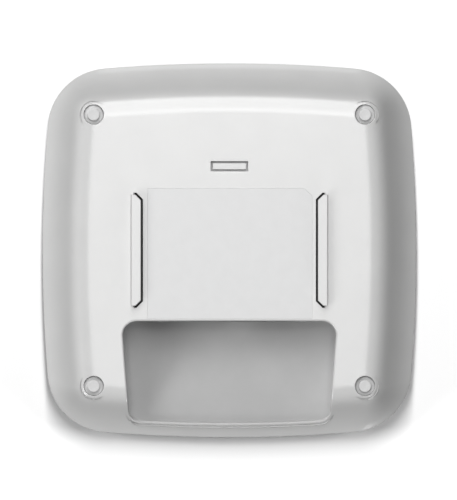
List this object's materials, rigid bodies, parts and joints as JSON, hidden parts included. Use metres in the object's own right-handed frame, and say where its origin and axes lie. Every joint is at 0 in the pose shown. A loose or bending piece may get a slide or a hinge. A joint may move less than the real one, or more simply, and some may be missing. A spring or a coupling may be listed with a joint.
{
  "type": "ceiling access point",
  "caption": "Square wireless access point with rounded corners for a ceiling bracket: hooked rails, latch pocket, cable bay with sockets and plugged case screws on its back.",
  "frame": {"origin": "middle of the flat back, level with the plane that faces the ceiling", "axes": "+Z out of the back, towards the ceiling; -Y towards the cable bay; +X to the right when looking onto the back with the cable bay at the bottom"},
  "size_m": [0.16, 0.16, 0.0364],
  "materials": {
    "cover_white": "satin moulded",
    "label_white": "matt film",
    "plug_rubber": "matt",
    "zinc_steel": "zinc plated",
    "black_film": "matt",
    "board_green": "solder mask",
    "cast_aluminium": "as cast",
    "thermal_pad": "matt",
    "chip_black": "matt",
    "tinned_steel": "tinned",
    "antenna_brass": "stamped",
    "lead_grey": "satin",
    "socket_black": "satin",
    "gold_plate": "gold plated",
    "button_grey": "satin",
    "ferrite": "matt",
    "can_aluminium": "bright",
    "led_clear": "clear"
  },
  "bodies": {
    "housing": {"antenna_1": "antenna_brass", "antenna_2": "antenna_brass", "antenna_3": "antenna_brass", "antenna_4": "antenna_brass", "antenna_connector_1": "gold_plate", "antenna_connector_2": "gold_plate", "antenna_connector_3": "gold_plate", "antenna_connector_4": "gold_plate", "antenna_lead_1": "lead_grey", "antenna_lead_2": "lead_grey", "antenna_lead_3": "lead_grey", "antenna_lead_4": "lead_grey", "board_screw_1": "zinc_steel", "board_screw_2": "zinc_steel", "board_screw_3": "zinc_steel", "board_screw_4": "zinc_steel", "bulk_capacitor_1": "can_aluminium", "bulk_capacitor_2": "can_aluminium", "case_screw_1": "zinc_steel", "case_screw_2": "zinc_steel", "case_screw_3": "zinc_steel", "case_screw_4": "zinc_steel", "console_shell": "tinned_steel", "console_tongue": "socket_black", "ethernet_contacts": "gold_plate", "ethernet_housing": "socket_black", "ethernet_shield": "tinned_steel", "flash_chip": "chip_black", "front_cover": "cover_white", "front_end_shield_2g": "tinned_steel", "front_end_shield_5g": "tinned_steel", "heat_spreader": "cast_aluminium", "insulating_film": "black_film", "light_pipe": "led_clear", "line_magnetics": "chip_black", "main_board": "board_green", "memory_chip": "chip_black", "poe_transformer": "ferrite", "power_housing": "socket_black", "power_inductor": "ferrite", "power_pin": "tinned_steel", "power_spring": "tinned_steel", "processor_chip": "chip_black", "processor_thermal_pad": "thermal_pad", "radio_2g_chip": "chip_black", "radio_2g_thermal_pad": "thermal_pad", "radio_5g_chip": "chip_black", "radio_5g_thermal_pad": "thermal_pad", "rating_label": "label_white", "rear_cover": "cover_white", "reset_switch": "chip_black", "screw_plug_1": "plug_rubber", "screw_plug_2": "plug_rubber", "screw_plug_3": "plug_rubber", "screw_plug_4": "plug_rubber", "status_led": "led_clear"},
    "reset_button": {"reset_button": "button_grey", "switch_plunger": "socket_black"}
  },
  "joints": [
    {"name": "reset_press", "type": "slide", "parent": "housing", "child": "reset_button", "axis": [0, 1, 0], "range_m": [0, 0.0005], "stiffness_N_per_m": 3000, "springref_m": -0.0001}
  ]
}
